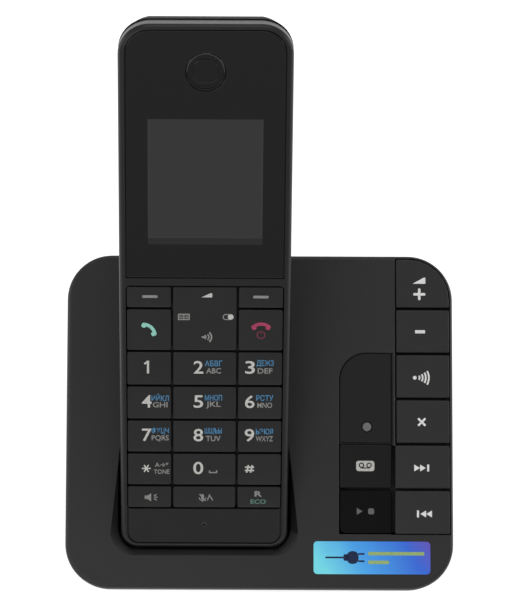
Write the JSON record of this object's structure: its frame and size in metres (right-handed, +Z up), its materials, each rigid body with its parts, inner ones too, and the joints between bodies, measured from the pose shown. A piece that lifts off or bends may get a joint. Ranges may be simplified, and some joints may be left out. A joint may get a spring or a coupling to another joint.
{
  "type": "cordless telephone",
  "caption": "Cordless telephone handset with display and keypad, standing in a sloping charging base with answering machine keys",
  "frame": {"origin": "bottom centre of the bounding box, on the surface the feet stand on", "axes": "+Z up, the base's low front edge and the handset's face look towards -Y, +X is the right hand of someone facing the phone"},
  "size_m": [0.1124, 0.1108, 0.1447],
  "materials": {
    "base_plastic": "fine spark texture, satin",
    "lower_case_plastic": "fine texture, matte",
    "handset_front_plastic": "semi-gloss",
    "handset_rear_plastic": "fine texture, matte",
    "gloss_black": "polished, high gloss",
    "earpiece_plastic": "gloss",
    "screen_grey": "unlit liquid crystal screen, satin",
    "handset_key_plastic": "satin with printed signs",
    "base_key_plastic": "satin with printed signs",
    "silicone_grey": "moulded silicone",
    "circuit_board_green": "solder mask on glass fibre board",
    "cell_sleeve": "printed plastic sleeve on a steel can",
    "plated_steel": "plated",
    "black_screw": "blackened",
    "contact_plating": "gold coloured plating",
    "socket_plastic": "moulded",
    "foot_rubber": "moulded, matte",
    "lamp_grey": "translucent, unlit"
  },
  "bodies": {
    "base": {"base_bottom_housing": "lower_case_plastic", "base_circuit_board": "circuit_board_green", "base_key_mat": "silicone_grey", "base_screw_left": "black_screw", "base_screw_right": "black_screw", "base_speaker": "plated_steel", "base_top_housing": "base_plastic", "cradle_contacts": "contact_plating", "indicator_light_pipe": "lamp_grey", "indicator_window": "gloss_black", "line_jack": "socket_plastic", "power_jack": "socket_plastic", "rubber_foot_front_left": "foot_rubber", "rubber_foot_front_right": "foot_rubber", "rubber_foot_rear_left": "foot_rubber", "rubber_foot_rear_right": "foot_rubber"},
    "handset": {"handset_front_housing": "handset_front_plastic", "handset_rear_housing": "handset_rear_plastic", "display_window": "gloss_black", "lcd_module": "screen_grey", "earpiece_cap": "earpiece_plastic", "earpiece_speaker": "plated_steel", "keypad_membrane": "silicone_grey", "handset_circuit_board": "circuit_board_green", "battery_cell_left": "cell_sleeve", "battery_cell_right": "cell_sleeve", "battery_terminals_lower": "plated_steel", "battery_terminals_upper": "plated_steel", "handset_charge_contacts": "contact_plating", "ringer_speaker": "plated_steel"},
    "navigator_pivot_body": {"navigator_pivot": "plated_steel"},
    "navigator": {"navigator_key": "handset_key_plastic"},
    "battery_cover_body": {"battery_cover": "handset_rear_plastic"},
    "soft_key_left_body": {"soft_key_left": "handset_key_plastic"},
    "soft_key_right_body": {"soft_key_right": "handset_key_plastic"},
    "talk_key_body": {"talk_key": "handset_key_plastic"},
    "off_key_body": {"off_key": "handset_key_plastic"},
    "key_1_body": {"key_1": "handset_key_plastic"},
    "key_2_body": {"key_2": "handset_key_plastic"},
    "key_3_body": {"key_3": "handset_key_plastic"},
    "key_4_body": {"key_4": "handset_key_plastic"},
    "key_5_body": {"key_5": "handset_key_plastic"},
    "key_6_body": {"key_6": "handset_key_plastic"},
    "key_7_body": {"key_7": "handset_key_plastic"},
    "key_8_body": {"key_8": "handset_key_plastic"},
    "key_9_body": {"key_9": "handset_key_plastic"},
    "key_star_body": {"key_star": "handset_key_plastic"},
    "key_0_body": {"key_0": "handset_key_plastic"},
    "key_hash_body": {"key_hash": "handset_key_plastic"},
    "speakerphone_key_body": {"speakerphone_key": "handset_key_plastic"},
    "mute_key_body": {"mute_key": "handset_key_plastic"},
    "recall_key_body": {"recall_key": "handset_key_plastic"},
    "volume_up_key_body": {"volume_up_key": "base_key_plastic"},
    "volume_down_key_body": {"volume_down_key": "base_key_plastic"},
    "locator_key_body": {"locator_key": "base_key_plastic"},
    "erase_key_body": {"erase_key": "base_key_plastic"},
    "skip_forward_key_body": {"skip_forward_key": "base_key_plastic"},
    "skip_back_key_body": {"skip_back_key": "base_key_plastic"},
    "answer_on_key_body": {"answer_on_key": "gloss_black"},
    "play_stop_key_body": {"play_stop_key": "gloss_black"}
  },
  "joints": [
    {"name": "handset_lift", "type": "slide", "parent": "base", "child": "handset", "axis": [0, 0.5842, 0.8116], "range_m": [0, 0.08]},
    {"name": "soft_key_left_press", "type": "slide", "parent": "handset", "child": "soft_key_left_body", "axis": [0, 0.8116, -0.5842], "range_m": [0, 0.0005], "stiffness_N_per_m": 400},
    {"name": "soft_key_right_press", "type": "slide", "parent": "handset", "child": "soft_key_right_body", "axis": [0, 0.8116, -0.5842], "range_m": [0, 0.0005], "stiffness_N_per_m": 400},
    {"name": "talk_key_press", "type": "slide", "parent": "handset", "child": "talk_key_body", "axis": [0, 0.8116, -0.5842], "range_m": [0, 0.0005], "stiffness_N_per_m": 400},
    {"name": "off_key_press", "type": "slide", "parent": "handset", "child": "off_key_body", "axis": [0, 0.8116, -0.5842], "range_m": [0, 0.0005], "stiffness_N_per_m": 400},
    {"name": "key_1_press", "type": "slide", "parent": "handset", "child": "key_1_body", "axis": [0, 0.8116, -0.5842], "range_m": [0, 0.0005], "stiffness_N_per_m": 400},
    {"name": "key_2_press", "type": "slide", "parent": "handset", "child": "key_2_body", "axis": [0, 0.8116, -0.5842], "range_m": [0, 0.0005], "stiffness_N_per_m": 400},
    {"name": "key_3_press", "type": "slide", "parent": "handset", "child": "key_3_body", "axis": [0, 0.8116, -0.5842], "range_m": [0, 0.0005], "stiffness_N_per_m": 400},
    {"name": "key_4_press", "type": "slide", "parent": "handset", "child": "key_4_body", "axis": [0, 0.8116, -0.5842], "range_m": [0, 0.0005], "stiffness_N_per_m": 400},
    {"name": "key_5_press", "type": "slide", "parent": "handset", "child": "key_5_body", "axis": [0, 0.8116, -0.5842], "range_m": [0, 0.0005], "stiffness_N_per_m": 400},
    {"name": "key_6_press", "type": "slide", "parent": "handset", "child": "key_6_body", "axis": [0, 0.8116, -0.5842], "range_m": [0, 0.0005], "stiffness_N_per_m": 400},
    {"name": "key_7_press", "type": "slide", "parent": "handset", "child": "key_7_body", "axis": [0, 0.8116, -0.5842], "range_m": [0, 0.0005], "stiffness_N_per_m": 400},
    {"name": "key_8_press", "type": "slide", "parent": "handset", "child": "key_8_body", "axis": [0, 0.8116, -0.5842], "range_m": [0, 0.0005], "stiffness_N_per_m": 400},
    {"name": "key_9_press", "type": "slide", "parent": "handset", "child": "key_9_body", "axis": [0, 0.8116, -0.5842], "range_m": [0, 0.0005], "stiffness_N_per_m": 400},
    {"name": "key_star_press", "type": "slide", "parent": "handset", "child": "key_star_body", "axis": [0, 0.8116, -0.5842], "range_m": [0, 0.0005], "stiffness_N_per_m": 400},
    {"name": "key_0_press", "type": "slide", "parent": "handset", "child": "key_0_body", "axis": [0, 0.8116, -0.5842], "range_m": [0, 0.0005], "stiffness_N_per_m": 400},
    {"name": "key_hash_press", "type": "slide", "parent": "handset", "child": "key_hash_body", "axis": [0, 0.8116, -0.5842], "range_m": [0, 0.0005], "stiffness_N_per_m": 400},
    {"name": "speakerphone_key_press", "type": "slide", "parent": "handset", "child": "speakerphone_key_body", "axis": [0, 0.8116, -0.5842], "range_m": [0, 0.0005], "stiffness_N_per_m": 400},
    {"name": "mute_key_press", "type": "slide", "parent": "handset", "child": "mute_key_body", "axis": [0, 0.8116, -0.5842], "range_m": [0, 0.0005], "stiffness_N_per_m": 400},
    {"name": "recall_key_press", "type": "slide", "parent": "handset", "child": "recall_key_body", "axis": [0, 0.8116, -0.5842], "range_m": [0, 0.0005], "stiffness_N_per_m": 400},
    {"name": "navigator_up_down", "type": "hinge", "parent": "handset", "child": "navigator_pivot_body", "pos_m": [-0.01594, -0.00163, 0.07465], "axis": [1, 0, 0], "range_deg": [-2, 2], "stiffness_Nm_per_rad": 0.35},
    {"name": "navigator_left_right", "type": "hinge", "parent": "navigator_pivot_body", "child": "navigator", "pos_m": [-0.01594, -0.00163, 0.07465], "axis": [0, 0.5842, 0.8116], "range_deg": [-2, 2], "stiffness_Nm_per_rad": 0.35},
    {"name": "battery_cover_slide", "type": "slide", "parent": "handset", "child": "battery_cover_body", "axis": [0, -0.5842, -0.8116], "range_m": [0, 0.0045]},
    {"name": "volume_up_key_press", "type": "slide", "parent": "base", "child": "volume_up_key_body", "axis": [0, 0.4384, -0.8988], "range_m": [0, 0.0007], "stiffness_N_per_m": 500},
    {"name": "volume_down_key_press", "type": "slide", "parent": "base", "child": "volume_down_key_body", "axis": [0, 0.4384, -0.8988], "range_m": [0, 0.0007], "stiffness_N_per_m": 500},
    {"name": "locator_key_press", "type": "slide", "parent": "base", "child": "locator_key_body", "axis": [0, 0.4384, -0.8988], "range_m": [0, 0.0007], "stiffness_N_per_m": 500},
    {"name": "erase_key_press", "type": "slide", "parent": "base", "child": "erase_key_body", "axis": [0, 0.4384, -0.8988], "range_m": [0, 0.0007], "stiffness_N_per_m": 500},
    {"name": "skip_forward_key_press", "type": "slide", "parent": "base", "child": "skip_forward_key_body", "axis": [0, 0.4384, -0.8988], "range_m": [0, 0.0007], "stiffness_N_per_m": 500},
    {"name": "skip_back_key_press", "type": "slide", "parent": "base", "child": "skip_back_key_body", "axis": [0, 0.4384, -0.8988], "range_m": [0, 0.0007], "stiffness_N_per_m": 500},
    {"name": "answer_on_key_press", "type": "slide", "parent": "base", "child": "answer_on_key_body", "axis": [0, 0.4384, -0.8988], "range_m": [0, 0.0007], "stiffness_N_per_m": 500},
    {"name": "play_stop_key_press", "type": "slide", "parent": "base", "child": "play_stop_key_body", "axis": [0, 0.4384, -0.8988], "range_m": [0, 0.0007], "stiffness_N_per_m": 500}
  ]
}
